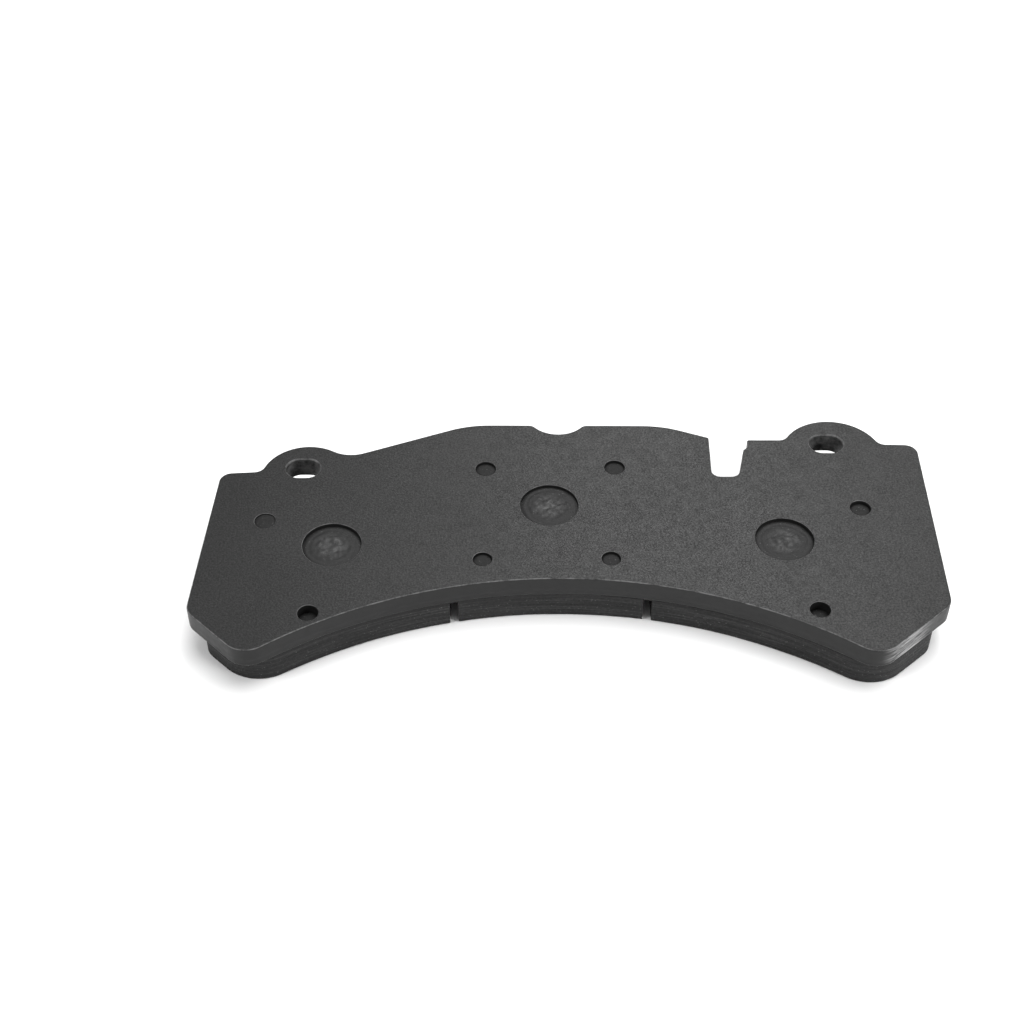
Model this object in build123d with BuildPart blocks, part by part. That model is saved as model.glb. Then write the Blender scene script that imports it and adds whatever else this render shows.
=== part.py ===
from build123d import *
import os

# Disc brake pad for a fixed caliper, lying on its friction face. Millimetres.
# Origin: centre of the pad's footprint, on the friction face.
# +Z runs from the friction face to the back of the steel plate,
# +Y to the disc's outer rim (the eared edge), +X to the end with the sensor notch.

# ---- thickness of each layer, from the friction face up ----
friction_depth = 7.3
underlayer_depth = 1.5
film_depth = 0.2
plate_thickness = 6.2

underlayer_z = friction_depth
film_z = underlayer_z + underlayer_depth
plate_z = film_z + film_depth
plate_top_z = plate_z + plate_thickness

# ---- outline of the backing plate ----
left_end = Vector(-100.1, -30.1)       # sharp corners where the ends meet the lower chamfers
right_end = Vector(99.6, -27.7)
left_shoulder = Vector(-96.8, 22.1)
right_shoulder = Vector(100.0, 34.0)
left_toe = Vector(-83.9, -46.0)        # sharp lower corners, before rounding
right_toe = Vector(78.8, -46.0)
left_crown = Vector(-27.6, 42.5)       # ends of the flat top of the arch
right_crown = Vector(27.9, 42.2)
left_foot = Vector(-66.0, 27.1)        # feet of the arch, the left one inside its ear
right_foot = Vector(43.6, 36.1)

bore_edge_centre = Vector(-2.6, -153.3)    # the concave lower edge clears the wheel hub
bore_edge_radius = 134.7

left_ear = Vector(-72.7, 20.4)
right_ear = Vector(75.7, 29.6)
left_ear_radius = 12.9
right_ear_radius = 14.5

dip_centre = Vector(-2.0, 47.4)        # shallow dip at the top of the arch
dip_radius = 8.8

toe_round = 7.0
end_round = 5.0
shoulder_round = 3.5
crown_round = 30.0
ear_blend = 3.0
arch_blend = 9.6                       # sweeps the left ear into the arch
dip_blend = 2.5
plate_edge_round = 0.5                 # die roll of the blanked edge, on the back face
plate_edge_break = 0.3                 # broken edge on the friction side

# ---- sensor notch in the upper edge ----
notch_floor_left = Vector(40.8, 20.9)
notch_floor_right = Vector(48.2, 20.9)
notch_left_rim = Vector(41.1, 37.1)
notch_step = Vector(50.5, 31.9)        # the right wall leans out to here, then steps
notch_mouth = Vector(51.9, 33.3)
notch_round = 2.4
notch_mouth_round = 0.6

# ---- ear holes for the retaining pins ----
pin_hole_length = 9.6
pin_hole_width = 7.4
left_pin = Vector(-73.9, 24.2)
right_pin = Vector(74.4, 34.5)

# ---- retention holes, and how far each moulded peg stops below the back face ----
large_hole_radius = 8.0
small_hole_radius = 2.9
inner_hole_radius = 2.6
deep_hole_radius = 2.75
pegs = [
    (-63.7, -6.0, large_hole_radius, 0.9), (-4.95, 9.3, large_hole_radius, 0.7),
    (58.4, -3.9, large_hole_radius, 0.9), (-22.6, 23.9, small_hole_radius, 0.6),
    (13.6, 24.5, small_hole_radius, 0.6), (-82.6, 3.1, small_hole_radius, 0.1),
    (80.5, 8.1, small_hole_radius, 0.9), (-68.2, -30.9, deep_hole_radius, 2.6),
    (64.9, -29.7, deep_hole_radius, 2.6), (-23.1, -11.5, inner_hole_radius, 0.6),
    (11.3, -11.2, inner_hole_radius, 0.6),
]

# ---- friction material ----
ledge = 0.8                            # plate showing below the friction material's lower edge
friction_left_shoulder = Vector(-93.1, 18.1)    # upper corners under the ears, clear of the pin holes
friction_left_end = Vector(-96.2, -31.2)
friction_left_toe = Vector(-81.2, -45.9)
friction_right_toe = Vector(77.5, -46.5)
friction_right_end = Vector(95.7, -30.5)
friction_right_shoulder = Vector(96.1, 29.1)
friction_right_foot = Vector(46.0, 29.1)        # inside the sensor pocket
friction_crown_right = Vector(27.3, 40.6)
friction_crown_left = Vector(-27.0, 40.9)
friction_left_foot = Vector(-60.9, 27.4)
friction_left_step = Vector(-64.4, 18.1)
friction_toe_round = 12.0
friction_end_round = 6.0
friction_corner_round = 3.0
sensor_pocket = Vector(46.0, 26.6)     # round pocket that clears the wear sensor
sensor_pocket_radius = 9.0
slot_width = 2.2
left_slot_x = -30.7
right_slot_x = 21.0
slot_into_underlayer = 0.7
friction_edge_bevel = 0.4

BEYOND = 120.0                         # reaches past the pad on every side
ARCH_TOP = 60.0                        # above the pad's upper edge


def nearest(corners, point):
    """The corner that lies closest to a point."""
    return min(corners, key=lambda corner: (Vector(corner.X, corner.Y) - point).length)


def round_corners(outline, points, radius):
    """Round the outline's corners at these points."""
    for point in points:
        fillet(nearest(outline.vertices(), point), radius)


# ---- plate outline: a chamfered arch with two domed ears, a dip and the sensor notch ----
with BuildSketch() as plate_outline:
    with BuildLine():
        Polyline(
            left_shoulder, left_end, left_toe, right_toe, right_end, right_shoulder,
            (right_ear.X, right_shoulder.Y + 0.6), (right_ear.X, right_foot.Y),
            right_foot, right_crown, left_crown, left_foot, (left_ear.X, left_shoulder.Y + 1.6),
            close=True,
        )
    make_face()
    with Locations(bore_edge_centre):
        Circle(bore_edge_radius, mode=Mode.SUBTRACT)
    round_corners(plate_outline, (left_toe, right_toe), toe_round)
    round_corners(plate_outline, (left_end, right_end), end_round)
    round_corners(plate_outline, (left_shoulder, right_shoulder), shoulder_round)
    round_corners(plate_outline, (left_crown, right_crown), crown_round)
    for centre, radius in ((left_ear, left_ear_radius), (right_ear, right_ear_radius)):
        with Locations(centre):
            Circle(radius)
    ear_roots = (Vector(-85.4, 22.9), Vector(89.4, 34.3), Vector(62.8, 36.1))
    round_corners(plate_outline, ear_roots, ear_blend)
    round_corners(plate_outline, (Vector(-63.3, 28.9),), arch_blend)
    with Locations(dip_centre):
        Circle(dip_radius, mode=Mode.SUBTRACT)
    round_corners(plate_outline, (Vector(-9.2, 42.4), Vector(5.2, 42.3)), dip_blend)
    with BuildLine():
        Polyline(
            (notch_left_rim.X, ARCH_TOP), notch_left_rim, notch_floor_left,
            notch_floor_right, notch_step, notch_mouth, (notch_mouth.X, ARCH_TOP),
            close=True,
        )
    make_face(mode=Mode.SUBTRACT)
    round_corners(plate_outline, (notch_floor_left, notch_floor_right), notch_round)
    notch_rims = (notch_left_rim, Vector(notch_mouth.X, 36.1))
    round_corners(plate_outline, notch_rims, notch_mouth_round)

# ---- backing plate: blanked steel with pin holes and retention holes ----
with BuildPart() as backing_plate:
    with BuildSketch(Plane.XY.offset(plate_z)):
        add(plate_outline.sketch)
    extrude(amount=plate_thickness)
    top_face = backing_plate.faces().sort_by(Axis.Z)[-1]
    fillet(top_face.edges(), plate_edge_round)
    bottom_face = backing_plate.faces().sort_by(Axis.Z)[0]
    chamfer(bottom_face.edges(), plate_edge_break)
    with BuildSketch(Plane.XY.offset(plate_z)):
        with Locations(left_pin, right_pin):
            SlotOverall(pin_hole_length, pin_hole_width)
        for x, y, radius, drop in pegs:
            with Locations((x, y)):
                Circle(radius)
    extrude(amount=plate_thickness, mode=Mode.SUBTRACT)

# ---- friction outline: set in from the plate all round, with the sensor pocket ----
with BuildSketch() as friction_outline:
    with BuildLine():
        Polyline(
            friction_left_shoulder, friction_left_end, friction_left_toe, friction_right_toe,
            friction_right_end, friction_right_shoulder, friction_right_foot,
            friction_crown_right, friction_crown_left, friction_left_foot, friction_left_step,
            close=True,
        )
    make_face()
    with Locations(bore_edge_centre):
        Circle(bore_edge_radius + ledge, mode=Mode.SUBTRACT)
    round_corners(friction_outline, (friction_left_toe, friction_right_toe), friction_toe_round)
    round_corners(friction_outline, (friction_left_end, friction_right_end), friction_end_round)
    upper_corners = (
        friction_left_shoulder, friction_right_shoulder, friction_left_foot, friction_left_step,
    )
    round_corners(friction_outline, upper_corners, friction_corner_round)
    round_corners(friction_outline, (friction_crown_left, friction_crown_right), crown_round)
    with Locations(dip_centre):
        Circle(dip_radius + 2 * ledge, mode=Mode.SUBTRACT)
    with Locations(sensor_pocket):
        Circle(sensor_pocket_radius, mode=Mode.SUBTRACT)
    with Locations((sensor_pocket.X, (sensor_pocket.Y + ARCH_TOP) / 2)):
        Rectangle(2 * sensor_pocket_radius, ARCH_TOP - sensor_pocket.Y, mode=Mode.SUBTRACT)

# ---- bonding film between the plate and the moulded stack ----
with BuildPart() as adhesive_film:
    with BuildSketch(Plane.XY.offset(film_z)):
        add(friction_outline.sketch)
        for x, y, radius, drop in pegs:
            with Locations((x, y)):
                Circle(radius, mode=Mode.SUBTRACT)
    extrude(amount=film_depth)

# ---- underlayer: one moulding whose pegs fill the plate's retention holes ----
with BuildPart() as underlayer:
    with BuildSketch(Plane.XY.offset(underlayer_z)):
        add(friction_outline.sketch)
    extrude(amount=underlayer_depth)
    with BuildSketch(Plane.XY.offset(underlayer_z)):
        with Locations((left_slot_x, 0), (right_slot_x, 0)):
            Rectangle(slot_width, BEYOND)
    extrude(amount=slot_into_underlayer, mode=Mode.SUBTRACT)
    for x, y, radius, drop in pegs:
        with BuildSketch(Plane.XY.offset(film_z)):
            with Locations((x, y)):
                Circle(radius)
        extrude(amount=plate_top_z - drop - film_z)

# ---- friction blocks: the lining, cut into three by the slots ----
half_slot = slot_width / 2
block_spans = {
    "friction_block_left": (-BEYOND, left_slot_x - half_slot),
    "friction_block_centre": (left_slot_x + half_slot, right_slot_x - half_slot),
    "friction_block_right": (right_slot_x + half_slot, BEYOND),
}
os.makedirs("parts", exist_ok=True)
for name, (start_x, end_x) in block_spans.items():
    with BuildPart() as friction_block:
        with BuildSketch():
            add(friction_outline.sketch)
            with Locations(((start_x + end_x) / 2, 0)):
                Rectangle(end_x - start_x, 2 * BEYOND, mode=Mode.INTERSECT)
        extrude(amount=friction_depth)
        wear_face = friction_block.faces().sort_by(Axis.Z)[0]
        chamfer(wear_face.edges(), friction_edge_bevel)
    friction_block.part.label = name
    export_step(friction_block.part, f"parts/{name}.step")

# ---- the other pieces ----
backing_plate.part.label = "backing_plate"
export_step(backing_plate.part, "parts/backing_plate.step")

adhesive_film.part.label = "adhesive_film"
export_step(adhesive_film.part, "parts/adhesive_film.step")

underlayer.part.label = "underlayer"
export_step(underlayer.part, "parts/underlayer.step")
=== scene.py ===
import math

import bmesh
import bpy
import numpy as np
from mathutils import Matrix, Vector, noise
from mathutils.geometry import delaunay_2d_cdt


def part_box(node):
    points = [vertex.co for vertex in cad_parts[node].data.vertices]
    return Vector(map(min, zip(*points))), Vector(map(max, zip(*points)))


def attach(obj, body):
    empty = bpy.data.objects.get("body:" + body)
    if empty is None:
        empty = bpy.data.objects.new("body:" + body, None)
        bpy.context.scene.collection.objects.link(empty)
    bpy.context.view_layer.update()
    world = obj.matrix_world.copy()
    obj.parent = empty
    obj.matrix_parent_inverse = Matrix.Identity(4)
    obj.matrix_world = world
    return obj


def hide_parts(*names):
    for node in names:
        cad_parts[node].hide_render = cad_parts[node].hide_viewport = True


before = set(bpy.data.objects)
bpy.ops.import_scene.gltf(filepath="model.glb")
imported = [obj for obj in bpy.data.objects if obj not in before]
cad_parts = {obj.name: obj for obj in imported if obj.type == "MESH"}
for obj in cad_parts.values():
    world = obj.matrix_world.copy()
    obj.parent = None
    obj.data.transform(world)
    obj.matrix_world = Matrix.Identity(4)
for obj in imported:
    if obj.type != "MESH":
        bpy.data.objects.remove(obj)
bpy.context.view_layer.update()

MM = 0.001
WELD = 1e-6             # metres within which the vertices of a section are one

# Lengths in millimetres, unless they say otherwise.
SHARP_TURN = math.radians(20)
STRAIGHT_TURN = math.radians(0.15)      # a smaller turn counts as a straight run
TOUCHING = 0.005        # outline points closer than this are one
CORNER_REACH = 3.0      # how far from a sharp corner an inset point slides along its edge
ROW_STEP = 0.866        # row spacing of a grid of even triangles, as a share of its cell
BORDER_GAP = 0.6        # how near grid points come to the border, as a share of the cell
EDGE_ROLL = 0.32        # die roll round the plate's back face
HOLE_ROLL = 0.18        # the same round its retention holes
SLOT_CHAMFER = 0.34     # chamfer of the pin slots
FLAT_MARGIN = 0.06      # level rim left between a rounded edge and the face it bounds
GROOVE_DEPTH = 0.7      # how deep the slots run on into the underlayer
LARGE_PEG = 5.0         # radius that tells the large pegs from the small ones
PEG_ROOT = 0.3          # how deep a peg's root is sunk in the underlayer
PEG_GAP = 0.02          # play between a peg and its hole
FLOOR_REACH = 1.2       # metres from the origin to each edge of the floor

# The scraped patch at the pad's lower right corner, in metres: from nothing to full.
SCRAPE_BEGINS = (0.079, 0.085)
SCRAPE_FADES = (0.095, 0.087)
SCRAPE_BELOW = (-0.026, -0.032)

# Heights in millimetres, read from the CAD nodes.
PLATE_BOTTOM, PLATE_TOP = (corner.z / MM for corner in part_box("backing_plate"))
FILM_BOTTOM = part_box("adhesive_film")[0].z / MM
LINING_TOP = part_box("friction_block_centre")[1].z / MM


# ---- outlines cut from the CAD nodes ----
def section(node, height):
    """The closed outlines, in millimetres, where a level plane cuts a CAD node."""
    bm = bmesh.new()
    bm.from_mesh(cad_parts[node].data)
    bmesh.ops.remove_doubles(bm, verts=bm.verts, dist=WELD)
    bmesh.ops.bisect_plane(
        bm, geom=bm.verts[:] + bm.edges[:] + bm.faces[:], dist=1e-9,
        plane_co=(0, 0, height * MM), plane_no=(0, 0, 1), clear_inner=True, clear_outer=True,
    )
    bmesh.ops.remove_doubles(bm, verts=bm.verts, dist=WELD)
    loops, unused = [], set(bm.verts)
    while unused:
        start = min(unused, key=lambda v: (round(v.co.x, 7), round(v.co.y, 7)))
        walk, previous, here = [], None, start
        while here is not None:
            walk.append((here.co.x / MM, here.co.y / MM))
            unused.discard(here)
            onward = [e.other_vert(here) for e in here.link_edges]
            onward = [v for v in onward if v is not previous]
            previous, here = here, (onward[0] if onward else None)
            if here is start:
                break
        if len(walk) > 2:
            loops.append(without_straights(np.array(walk)))
    bm.free()
    return oriented(loops)


def without_straights(points):
    """Drops the points that lie on a straight run or on top of a neighbour."""
    gap = np.linalg.norm(points - np.roll(points, 1, 0), axis=1)
    points = points[gap > TOUCHING]
    before = points - np.roll(points, 1, 0)
    after = np.roll(points, -1, 0) - points
    turn = np.abs(np.arctan2(cross(before, after), (before * after).sum(1)))
    return points[turn > STRAIGHT_TURN]


def cross(a, b):
    return a[:, 0] * b[:, 1] - a[:, 1] * b[:, 0]


def area(points):
    return cross(points, np.roll(points, -1, 0)).sum() / 2


def inside(points, loops):
    """Which of the points the outlines enclose, holes left out."""
    hits = np.zeros(len(points), int)
    for loop in loops:
        for (x0, y0), (x1, y1) in zip(loop, np.roll(loop, -1, 0)):
            if y0 == y1:
                continue
            spans = (points[:, 1] > min(y0, y1)) & (points[:, 1] <= max(y0, y1))
            crossing = x0 + (points[:, 1] - y0) * (x1 - x0) / (y1 - y0)
            hits += spans & (crossing > points[:, 0])
    return hits % 2 == 1


def oriented(loops):
    """Outer outlines run anticlockwise and holes clockwise."""
    result = []
    for i, loop in enumerate(loops):
        others = loops[:i] + loops[i + 1:]
        is_hole = bool(others) and bool(inside(loop[:1], others)[0])
        result.append(loop[::-1] if (area(loop) > 0) == is_hole else loop)
    return result


def resampled(points, spacing):
    """The outline as a smooth curve with evenly spaced points and its sharp corners kept.
    Returns points, outward directions and the distance run along the outline."""
    after = np.roll(points, -1, 0) - points
    length = np.linalg.norm(after, axis=1)
    heading = after / length[:, None]
    before = np.roll(heading, 1, 0)
    turn = np.arctan2(cross(before, heading), (before * heading).sum(1))
    weighted = before * np.roll(length, 1)[:, None] + heading * length[:, None]
    weighted /= np.linalg.norm(weighted, axis=1)[:, None]
    sharp = np.abs(turn) > SHARP_TURN
    placed, tangents, corners = [], [], []
    for i in range(len(points)):
        j = (i + 1) % len(points)
        leave = heading[i] if sharp[i] else weighted[i]
        arrive = heading[i] if sharp[j] else weighted[j]
        if sharp[i]:
            corners.append((len(placed), math.tan(turn[i] / 2)))
        steps = max(1, round(length[i] / spacing))
        for t in np.arange(steps) / steps:      # a cubic Hermite curve, and its slope
            a, b = 2 * t**3 - 3 * t**2 + 1, t**3 - 2 * t**2 + t
            c, d = 3 * t**2 - 2 * t**3, t**3 - t**2
            placed.append(a * points[i] + c * points[j] + length[i] * (b * leave + d * arrive))
            slope = (6 * t**2 - 6 * t) * (points[i] - points[j]) / length[i]
            slope = slope + (3 * t**2 - 4 * t + 1) * leave + (3 * t**2 - 2 * t) * arrive
            tangents.append(slope / np.linalg.norm(slope))
    placed, tangents = np.array(placed), np.array(tangents)
    steps = np.linalg.norm(np.roll(placed, -1, 0) - placed, axis=1)
    run = np.concatenate([[0], np.cumsum(steps)[:-1]])
    outward = np.stack([tangents[:, 1], -tangents[:, 0]], 1)
    for index, half_turn in corners:
        past = (run - run[index]) % steps.sum()
        ahead = steps.sum() - past
        pull = np.where(ahead < CORNER_REACH, 1 - ahead / CORNER_REACH, 0)
        pull = np.where(past < CORNER_REACH, past / CORNER_REACH - 1, pull)
        outward += tangents * (pull * half_turn)[:, None]
    return placed, outward, run


# ---- closed shells swept round the outlines ----
class Shell:
    """Gathers vertices (millimetres), faces and a rim value for one mesh."""

    def __init__(self):
        self.points, self.faces, self.rim = [], [], []

    def add(self, x, y, z, rim=0.0):
        self.points.append((x, y, z))
        self.rim.append(rim)
        return len(self.points) - 1

    def join(self, rings):
        """Faces between each ring and the next."""
        for low, high in zip(rings, rings[1:]):
            for i in range(len(low)):
                j = (i + 1) % len(low)
                self.faces.append((low[i], low[j], high[j], high[i]))

    def walls(self, loops, rows, spacing, rough=None):
        """Walls round the loops through rows of (height, inset, rim). Returns their first and last
        rings. rough(height, run) pushes a wall point outward."""
        first, last = [], []
        for loop in loops:
            flat, normals, run = resampled(loop, spacing)
            rings = []
            for height, inset, rim in rows:
                ring = []
                for (x, y), (nx, ny), s in zip(flat, normals, run):
                    out = -inset + (rough(height, s) if rough else 0.0)
                    ring.append(self.add(x + nx * out, y + ny * out, height, rim))
                rings.append(ring)
            self.join(rings)
            first.append(rings[0])
            last.append(rings[-1])
        return first, last

    def sweep(self, loops, rows, spacing, cell, rough=None, bottom_offset=None):
        """Walls closed by a triangulated face at each end."""
        first, last = self.walls(loops, rows, spacing, rough)
        self.fill(first, rows[0][0], cell, True, bottom_offset)
        self.fill(last, rows[-1][0], cell, False)

    def fill(self, rings, height, cell, downward, offset=None):
        """Triangulates the region inside the rings, with points every cell. offset(x, y) lifts them."""
        border = [np.array([self.points[i][:2] for i in ring]) for ring in rings]
        known = np.concatenate(border)
        low, high = known.min(0), known.max(0)
        xs = np.arange(low[0], high[0], cell)
        ys = np.arange(low[1], high[1], cell * ROW_STEP)
        grid = np.array([(x + cell / 2 * (j % 2), y) for j, y in enumerate(ys) for x in xs])
        grid = grid[inside(grid, border)]
        keep = [
            i for i, p in enumerate(grid)
            if ((known - p) ** 2).sum(1).min() > (cell * BORDER_GAP) ** 2
        ]
        grid = grid[keep]
        numbers = [i for ring in rings for i in ring]
        for x, y in grid:
            z = height + (offset(x, y) if offset else 0.0)
            numbers.append(self.add(x, y, z))
        edges, start = [], 0
        for ring in rings:
            size = len(ring)
            edges += [(start + k, start + (k + 1) % size) for k in range(size)]
            start += size
        flat = [Vector(p) for p in known] + [Vector(p) for p in grid]
        made, _, triangles, origin, _, _ = delaunay_2d_cdt(flat, edges, [], 0, 1e-5)
        centres = np.array([sum((made[i] for i in t), Vector((0, 0))) / 3 for t in triangles])
        for triangle, kept in zip(triangles, inside(centres, border)):
            if not kept:
                continue
            corners = [numbers[origin[i][0]] for i in triangle]
            a, b, c = (self.points[i] for i in corners)
            upward = (b[0] - a[0]) * (c[1] - a[1]) - (b[1] - a[1]) * (c[0] - a[0]) > 0
            self.faces.append(tuple(corners[::-1] if upward == downward else corners))

    def build(self, name, material, slot, *nodes):
        """Makes the Blender object that stands for these CAD nodes."""
        mesh = bpy.data.meshes.new(name)
        mesh.from_pydata([Vector(p) * MM for p in self.points], [], self.faces)
        rim = mesh.attributes.new("rim", "FLOAT", "POINT")
        rim.data.foreach_set("value", self.rim)
        mesh.polygons.foreach_set("use_smooth", [True] * len(mesh.polygons))
        mesh.set_sharp_from_angle(angle=math.radians(40))
        mesh.materials.append(material)
        mesh.validate()
        piece = bpy.data.objects.new(name, mesh)
        bpy.context.collection.objects.link(piece)
        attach(piece, "root")
        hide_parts(*nodes)
        return piece


def wander(x, y, size, seed):
    """Smooth noise from -1 to 1 whose features are about this many millimetres across."""
    return noise.noise(Vector((x / size + seed, y / size - seed, 2 * seed)))


# ---- materials ----
def new_material(name):
    material = bpy.data.materials.new(name)
    material.use_nodes = True
    return material, material.node_tree.nodes["Principled BSDF"]


class Nodes:
    """Short ways to add shader nodes."""

    def __init__(self, material):
        self.tree = material.node_tree
        self.place = self.tree.nodes.new("ShaderNodeTexCoord").outputs["Object"]

    def link(self, source, socket):
        self.tree.links.new(source, socket)

    def mapped(self, scale):
        mapping = self.tree.nodes.new("ShaderNodeMapping")
        mapping.inputs["Scale"].default_value = scale
        self.link(self.place, mapping.inputs["Vector"])
        return mapping.outputs["Vector"]

    def noise(self, per_metre, detail=2.0, place=None, rough=0.5):
        node = self.tree.nodes.new("ShaderNodeTexNoise")
        node.inputs["Scale"].default_value = per_metre
        node.inputs["Detail"].default_value = detail
        node.inputs["Roughness"].default_value = rough
        self.link(place or self.place, node.inputs["Vector"])
        return node.outputs["Fac"]

    def cells(self, per_metre):
        node = self.tree.nodes.new("ShaderNodeTexVoronoi")
        node.inputs["Scale"].default_value = per_metre
        self.link(self.place, node.inputs["Vector"])
        return node.outputs["Distance"]

    def ramp(self, value, *stops):
        """Stops are (position, grey)."""
        node = self.tree.nodes.new("ShaderNodeValToRGB")
        elements = node.color_ramp.elements
        while len(elements) < len(stops):
            elements.new(0.5)
        for element, (position, grey) in zip(elements, stops):
            element.position = position
            element.color = (grey, grey, grey, 1)
        self.link(value, node.inputs["Fac"])
        return node.outputs["Color"]

    def mix(self, factor, a, b, kind="MIX"):
        node = self.tree.nodes.new("ShaderNodeMix")
        node.data_type = "RGBA"
        node.blend_type = kind
        for value, socket_name in ((factor, "Factor"), (a, "A"), (b, "B")):
            socket = node.inputs[socket_name]
            if isinstance(value, float):
                socket.default_value = value if socket.type == "VALUE" else (value, value, value, 1)
            else:
                self.link(value, socket)
        return node.outputs["Result"]

    def maths(self, kind, a, b, c=0.0):
        node = self.tree.nodes.new("ShaderNodeMath")
        node.operation = kind
        for value, socket in zip((a, b, c), node.inputs):
            if isinstance(value, float):
                socket.default_value = value
            else:
                self.link(value, socket)
        return node.outputs["Value"]

    def bump(self, height, depth_mm, strength=1.0, below=None):
        node = self.tree.nodes.new("ShaderNodeBump")
        node.inputs["Strength"].default_value = strength
        node.inputs["Distance"].default_value = depth_mm * MM
        self.link(height, node.inputs["Height"])
        if below is not None:
            self.link(below, node.inputs["Normal"])
        return node.outputs["Normal"]

    def between(self, value, start, end):
        """Runs smoothly from 0 at start to 1 at end."""
        node = self.tree.nodes.new("ShaderNodeMapRange")
        node.interpolation_type = "SMOOTHSTEP"
        node.inputs["From Min"].default_value = start
        node.inputs["From Max"].default_value = end
        self.link(value, node.inputs["Value"])
        return node.outputs["Result"]

    def axis(self, vector, letter):
        node = self.tree.nodes.new("ShaderNodeSeparateXYZ")
        self.link(vector, node.inputs["Vector"])
        return node.outputs[letter]

    def levelness(self):
        """1 on faces that lie level, 0 on upright ones."""
        normal = self.tree.nodes.new("ShaderNodeNewGeometry").outputs["Normal"]
        return self.between(self.maths("ABSOLUTE", self.axis(normal, "Z"), 0.0), 0.35, 0.85)

    def attribute(self, name):
        node = self.tree.nodes.new("ShaderNodeAttribute")
        node.attribute_name = name
        return node.outputs["Fac"]


def coated_steel():
    """Satin black coat: grainy where level, smooth down its sheared edge, scraped at one end, and lighter
    in patches along its rims, partly worn steel and partly a painted catch-light.
    """
    material, shader = new_material("powder_coated_steel")
    n = Nodes(material)
    level = n.levelness()
    cloud = n.ramp(n.noise(35, 4.0), (0.3, 0.0085), (0.7, 0.0120))
    speckle = n.noise(1900, 3.0, rough=0.8)
    grain = n.ramp(speckle, (0.36, 0.4), (0.5, 1.0), (0.64, 2.1))
    colour = n.mix(level, cloud, n.mix(1.0, cloud, grain, "MULTIPLY"))
    # Painted highlight mixed with wear: where the rim value is high, noise lights the colour to 0.13 in
    # patches. This is partly steel worn through and partly a painted catch-light.
    wear_and_catchlight = n.maths("MULTIPLY", n.attribute("rim"), n.noise(300, 5.0, rough=0.75))
    worn = n.ramp(wear_and_catchlight, (0.30, 0.0), (0.55, 0.8))
    colour = n.mix(worn, colour, 0.13)
    along = n.axis(n.place, "X")
    patch = n.maths("MULTIPLY", n.between(along, *SCRAPE_BEGINS), n.between(along, *SCRAPE_FADES))
    patch = n.maths("MULTIPLY", patch, n.between(n.axis(n.place, "Y"), *SCRAPE_BELOW))
    streaks = n.ramp(n.noise(1.0, 5.0, n.mapped((110, 110, 900)), 0.7), (0.40, 0.0), (0.66, 0.9))
    upright = n.maths("SUBTRACT", 1.0, level)
    scrape = n.maths("MULTIPLY", n.maths("MULTIPLY", patch, streaks), upright)
    colour = n.mix(scrape, colour, 0.50)
    n.link(colour, shader.inputs["Base Color"])
    patchy = n.ramp(n.noise(420, 4.0), (0.3, 0.38), (0.7, 0.48))
    glint = n.ramp(speckle, (0.36, 1.3), (0.5, 1.0), (0.64, 0.78))
    n.link(n.mix(level, patchy, n.mix(1.0, patchy, glint, "MULTIPLY")), shader.inputs["Roughness"])
    shader.inputs["Specular IOR Level"].default_value = 0.23
    peel = n.bump(n.noise(750, 2.0), 0.03, 0.4)
    relief = n.bump(n.maths("MULTIPLY", speckle, level), 0.06, 0.8, peel)
    n.link(relief, shader.inputs["Normal"])
    return material


def compound(name, dark, light, fleck, layers, face_tone, specular):
    """Moulded friction compound: grains from dark to light, metal flecks, and layers that show along
    its sides. face_tone multiplies the colour of its level faces, where the flecks lie open."""
    material, shader = new_material(name)
    n = Nodes(material)
    level = n.levelness()
    upright = n.maths("SUBTRACT", 1.0, level)
    grains = n.noise(1500, 5.0, rough=0.75)
    base = n.ramp(grains, (0.3, dark), (0.7, light))
    base = n.mix(level, base, n.mix(1.0, base, face_tone, "MULTIPLY"))
    strata = n.noise(1.0, 4.0, n.mapped((40, 40, 1900)), 0.7)
    streak = n.ramp(strata, (0.34, 1 - layers), (0.5, 1.0), (0.66, 1 + 2.4 * layers))
    base = n.mix(upright, base, n.mix(1.0, base, streak, "MULTIPLY"))
    chosen = n.ramp(n.cells(1300), (0.12, 1.0), (0.22, 0.0))
    picked = n.ramp(n.noise(900, 1.0), (0.47, 0.0), (0.55, 1.0))
    flecks = n.mix(1.0, chosen, picked, "MULTIPLY")
    shown = n.maths("MULTIPLY", flecks, n.maths("MULTIPLY_ADD", level, 0.85, 0.15))
    # The rim value paints lighter, glossier patches on the large pegs' ends. These are partly rubbing and
    # partly a painted highlight.
    rub_and_highlight = n.attribute("rim")
    colour = n.mix(n.maths("MULTIPLY", rub_and_highlight, 0.45), n.mix(shown, base, fleck), 0.10)
    n.link(colour, shader.inputs["Base Color"])
    n.link(n.mix(rub_and_highlight, n.mix(flecks, 0.66, 0.40), 0.30), shader.inputs["Roughness"])
    grit = n.bump(grains, 0.12, 0.6)
    relief = n.bump(n.maths("MULTIPLY", strata, upright), 0.12, 0.8, grit)
    n.link(relief, shader.inputs["Normal"])
    shader.inputs["Specular IOR Level"].default_value = specular
    return material


def cured_resin():
    """Dark adhesive squeezed out along the bond."""
    material, shader = new_material("cured_bond_line")
    n = Nodes(material)
    n.link(n.ramp(n.noise(700, 3.0), (0.3, 0.006), (0.7, 0.014)), shader.inputs["Base Color"])
    n.link(n.bump(n.noise(900, 2.0), 0.04, 0.5), shader.inputs["Normal"])
    shader.inputs["Roughness"].default_value = 0.5
    return material


plate_coat = coated_steel()
lining_compound = compound(
    "friction_compound", dark=0.009, light=0.026, fleck=0.45, layers=0.45, face_tone=5.0, specular=0.22,
)
under_compound = compound(
    "underlayer_compound", dark=0.008, light=0.020, fleck=0.04, layers=0.20, face_tone=0.5, specular=0.23,
)
bond_resin = cured_resin()


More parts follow.
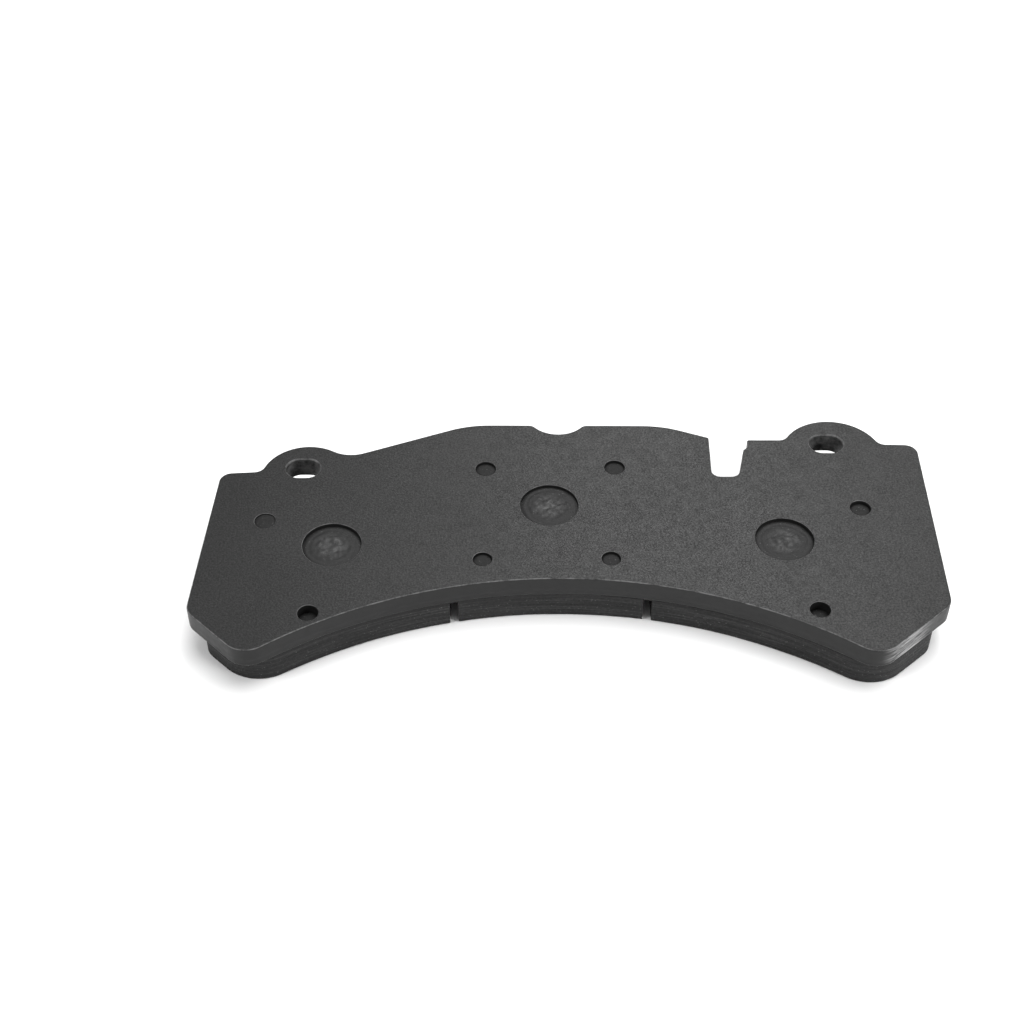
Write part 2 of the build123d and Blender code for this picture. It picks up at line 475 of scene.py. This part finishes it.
# ---- backing plate ----
def blanked(z, run):
    """The sheared edge: smooth near the back face, torn towards the friction side."""
    depth = (PLATE_TOP - z) / (PLATE_TOP - PLATE_BOTTOM)
    torn = max(0.0, min(1.0, (depth - 0.62) / 0.12))
    smooth = 0.012 * noise.noise(Vector((run / 0.9, z / 6, 3.1)))
    rough = 0.05 * noise.noise(Vector((run / 0.8, z / 0.5, 7.7))) - 0.04
    return min(0.0, smooth - 0.012 + torn * rough)


def roll(top, radius, steps):
    """Rows of a quarter-round edge that ends level with the top, then a narrow flat margin."""
    rows = []
    for k in range(steps + 1):
        angle = math.pi / 2 * k / steps
        height = top - radius + radius * math.sin(angle)
        # rim is highest halfway round the edge, where the coat is painted lighter: worn steel and a
        # painted catch-light.
        rim = math.sin(2 * angle) ** 0.5 if 0 < k < steps else 0.3
        rows.append((height, radius * (1 - math.cos(angle)), rim))
    return rows + [(top, radius + FLAT_MARGIN, 0.0)]


def is_round(loop):
    width, height = loop.max(0) - loop.min(0)
    return abs(width - height) < 0.1 * width


def make_plate():
    outlines = section("backing_plate", (PLATE_BOTTOM + PLATE_TOP) / 2)
    plate = Shell()
    outer = [loop for loop in outlines if area(loop) > 0]
    holes = [loop for loop in outlines if area(loop) < 0]
    wall = [(PLATE_BOTTOM + h, 0.0, 0.0) for h in np.arange(0.3, 5.8, 0.35)]
    bottom = [(PLATE_BOTTOM, 0.55, 0.0), (PLATE_BOTTOM, 0.3, 0.0), (PLATE_BOTTOM + 0.14, 0.1, 0.0)]
    outer_rows = bottom + wall + roll(PLATE_TOP, EDGE_ROLL, steps=6)
    hole_rows = (
        [(PLATE_BOTTOM, 0.12, 0.0)]
        + [(PLATE_BOTTOM + h, 0.0, 0.0) for h in np.arange(0.12, 5.9, 0.4)]
        + roll(PLATE_TOP, HOLE_ROLL, steps=4)
    )
    slot_rows = (
        [(PLATE_BOTTOM, 0.12, 0.8)]
        + [(PLATE_BOTTOM + h, 0.0, 0.8) for h in np.arange(0.12, 5.8, 0.4)]
        + [(PLATE_TOP - SLOT_CHAMFER, 0.0, 0.9), (PLATE_TOP, SLOT_CHAMFER, 0.9)]
        + [(PLATE_TOP, SLOT_CHAMFER + FLAT_MARGIN, 0.0)]
    )
    round_holes = [loop for loop in holes if is_round(loop)]
    pin_slots = [loop for loop in holes if not is_round(loop)]
    below, above = [], []
    for loops, rows, spacing, rough in (
        (outer, outer_rows, 0.55, blanked),
        (round_holes, hole_rows, 0.35, None),
        (pin_slots, slot_rows, 0.35, None),
    ):
        first, last = plate.walls(loops, rows, spacing, rough)
        below += first
        above += last
    plate.fill(below, PLATE_BOTTOM, cell=3.0, downward=True)
    plate.fill(above, PLATE_TOP, cell=2.0, downward=False)
    return plate.build("coated_plate", plate_coat, "coated_steel", "backing_plate")


# ---- bond line ----
def make_film():
    film = Shell()

    def squeezed(z, run):
        return 0.09 * noise.noise(Vector((run / 1.7, z, 1.3))) + 0.02

    outlines = section("adhesive_film", (FILM_BOTTOM + PLATE_BOTTOM) / 2)
    rows = [
        (FILM_BOTTOM, 0.1, 0.0), (FILM_BOTTOM + 0.05, 0.0, 0.0),
        (PLATE_BOTTOM - 0.05, 0.0, 0.0), (PLATE_BOTTOM, 0.1, 0.0),
    ]
    film.sweep(outlines, rows, spacing=0.8, cell=4.0, rough=squeezed)
    return film.build("bond_line", bond_resin, "adhesive", "adhesive_film")


# ---- underlayer and its pegs ----
def strata_push(z, run):
    """Shallow uneven layers along a moulded or ground side."""
    layer = noise.noise(Vector((run / 14, z / 0.55, 5.5)))
    grit = noise.noise(Vector((run / 0.7, z / 0.7, 9.1)))
    return 0.07 * layer + 0.035 * grit - 0.05


def peg(shell, centre, radius, base, top, seed):
    """A moulded peg. The free end is set down round its rim; a large one is lumpy inside, with lighter
    patches that are partly rubbed and partly a painted highlight.
    """
    large = radius > LARGE_PEG
    segments = 112 if large else 48
    turns = [2 * math.pi * k / segments for k in range(segments)]
    count = max(8, round(radius / 0.25))
    reach = radius - PEG_GAP
    rows = [(reach, base)]
    rows += [(reach * (1 - k / count), None) for k in range(count)]
    rings = []
    for r, height in rows:
        ring = []
        for t in turns:
            x, y = centre[0] + r * math.cos(t), centre[1] + r * math.sin(t)
            z = peg_height(x, y, r / radius, top, large, seed) if height is None else height
            ring.append(shell.add(x, y, z, rub_and_highlight(x, y, r / radius, seed) if large else 0.0))
        rings.append(ring)
    shell.join(rings)
    tip = shell.add(*centre, peg_height(*centre, 0.0, top, large, seed), 0.6 if large else 0.0)
    for i in range(segments):
        shell.faces.append((rings[-1][i], rings[-1][(i + 1) % segments], tip))
    shell.faces.append(tuple(reversed(rings[0])))


def peg_height(x, y, reach, top, large, seed):
    """Height of a peg's free end; reach runs from 0 at its centre to 1 at its rim."""
    if not large:
        return top - 0.35 * reach**5 + 0.06 * wander(x, y, 0.9, seed)
    along, across = 0.9 * x + 0.44 * y, 0.9 * y - 0.44 * x      # the folds run aslant
    lumps = 0.46 * wander(along / 2, across, 1.5, seed) + 0.2 * wander(x, y, 0.9, seed + 3.3)
    ridges = 0.10 * math.sin(30 * reach + 3 * wander(x, y, 4.0, seed)) * reach**2
    middle = max(0.0, 1 - (reach / 0.72) ** 2)
    crown = 0.25 - 0.25 * reach**2 - 0.30 * reach**8
    return top + crown + lumps * (0.15 + middle) + ridges * (1 - reach**8)


def rub_and_highlight(x, y, reach, seed):
    """How far a large peg's end is painted lighter, partly rubbing and partly a painted highlight: most
    in patches round its middle.
    """
    middle = max(0.0, 1 - (reach / 0.62) ** 2)
    return 0.14 + middle * (0.42 + 0.58 * wander(x, y, 1.3, seed + 5))


def make_underlayer():
    layer = Shell()
    thin = section("underlayer", FILM_BOTTOM - 0.1)
    groove_top = LINING_TOP + GROOVE_DEPTH
    islands = section("underlayer", LINING_TOP + 0.2)
    upper = [(groove_top, 0.0, 0.0), (groove_top + 0.4, 0.0, 0.0), (FILM_BOTTOM, 0.0, 0.0)]
    lower = [(LINING_TOP, 0.0, 0.0), (LINING_TOP + 0.35, 0.0, 0.0), (groove_top + 0.1, 0.0, 0.0)]
    layer.sweep(thin, upper, spacing=0.8, cell=4.0, rough=strata_push)
    layer.sweep(islands, lower, spacing=0.8, cell=4.0, rough=strata_push)
    corners = np.array([v.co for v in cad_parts["underlayer"].data.vertices]) / MM
    for number, circle in enumerate(section("underlayer", PLATE_BOTTOM + 1.0)):
        centre = (circle.min(0) + circle.max(0)) / 2
        radius = (circle.max(0) - circle.min(0)).max() / 2
        near = np.linalg.norm(corners[:, :2] - centre, axis=1) < radius + 0.05
        top = corners[near, 2].max()
        peg(layer, tuple(centre), radius, FILM_BOTTOM - PEG_ROOT, top, seed=11.37 + 2.61 * number)
    return layer.build("underlayer_with_pegs", under_compound, "underlayer_compound", "underlayer")


# ---- friction blocks ----
def make_lining(node, name):
    block = Shell()
    bevel = [(0.0, 0.75, 0.0), (0.0, 0.42, 0.0), (0.12, 0.24, 0.0), (0.28, 0.1, 0.0)]
    wall = [(h, 0.0, 0.0) for h in np.arange(0.5, LINING_TOP - 0.1, 0.26)]
    rows = bevel + wall + [(LINING_TOP, 0.0, 0.0)]

    def worn(z, run):
        return 0.0 if z == 0.0 else strata_push(z, run)

    def ground(x, y):
        return 0.03 + 0.03 * wander(x, y, 1.3, 2.0)

    outlines = section(node, LINING_TOP / 2)
    block.sweep(outlines, rows, spacing=0.6, cell=1.5, rough=worn, bottom_offset=ground)
    return block.build(name, lining_compound, "friction_compound", node)


make_plate()
make_film()
make_underlayer()
for side in ("left", "centre", "right"):
    make_lining(f"friction_block_{side}", f"lining_{side}")


# ---- floor, light and camera ----
def plain_floor():
    mesh = bpy.data.meshes.new("floor")
    corners = [(x * FLOOR_REACH, y * FLOOR_REACH, 0) for x, y in ((-1, -1), (1, -1), (1, 1), (-1, 1))]
    mesh.from_pydata(corners, [], [(0, 1, 2, 3)])
    floor = bpy.data.objects.new("floor", mesh)
    bpy.context.collection.objects.link(floor)
    material, shader = new_material("pale_floor")
    shader.inputs["Base Color"].default_value = (0.88, 0.88, 0.88, 1)
    shader.inputs["Roughness"].default_value = 0.95
    mesh.materials.append(material)


def softbox(name, place, aim, width, height, power):
    """A rectangular studio light, in metres and watts."""
    light = bpy.data.lights.new(name, "AREA")
    light.shape = "RECTANGLE"
    light.size, light.size_y = width, height
    light.energy = power
    lamp = bpy.data.objects.new(name, light)
    lamp.location = place
    lamp.rotation_euler = (Vector(aim) - Vector(place)).to_track_quat("-Z", "Y").to_euler()
    bpy.context.collection.objects.link(lamp)


plain_floor()
softbox("overhead_panel", (0.42, 0.34, 2.0), (0.1, 0.2, 0), width=2.0, height=1.7, power=51)
softbox("rear_glow", (0.14, 0.85, 0.85), (0.03, 0, 0), width=0.36, height=0.5, power=4.2)
softbox("left_key", (-0.90, -0.50, 0.90), (0, 0, 0), width=0.45, height=0.3, power=7)
softbox("right_strip", (0.70, -0.45, 0.35), (0.09, -0.03, 0), width=0.35, height=0.25, power=3.4)

world = bpy.data.worlds.new("studio")
world.use_nodes = True
backdrop = world.node_tree.nodes["Background"]
backdrop.inputs["Color"].default_value = (1, 1, 1, 1)
seen = world.node_tree.nodes.new("ShaderNodeLightPath").outputs["Is Camera Ray"]
strength = world.node_tree.nodes.new("ShaderNodeMapRange")
strength.inputs["To Min"].default_value = 0.32      # as a light
strength.inputs["To Max"].default_value = 1.0       # as the white seen beyond the floor
world.node_tree.links.new(seen, strength.inputs["Value"])
world.node_tree.links.new(strength.outputs["Result"], backdrop.inputs["Strength"])
bpy.context.scene.world = world
bpy.context.scene.view_settings.view_transform = "Standard"

lens = bpy.data.cameras.new("camera")
lens.lens = 63.28
lens.sensor_width = 36.0
lens.clip_start, lens.clip_end = 0.01, 50.0
camera = bpy.data.objects.new("camera", lens)
camera.location = Vector((-15.22, -346.6, 359.8)) * MM
camera.rotation_euler = (math.radians(45.7), 0, 0)
bpy.context.collection.objects.link(camera)
bpy.context.scene.camera = camera
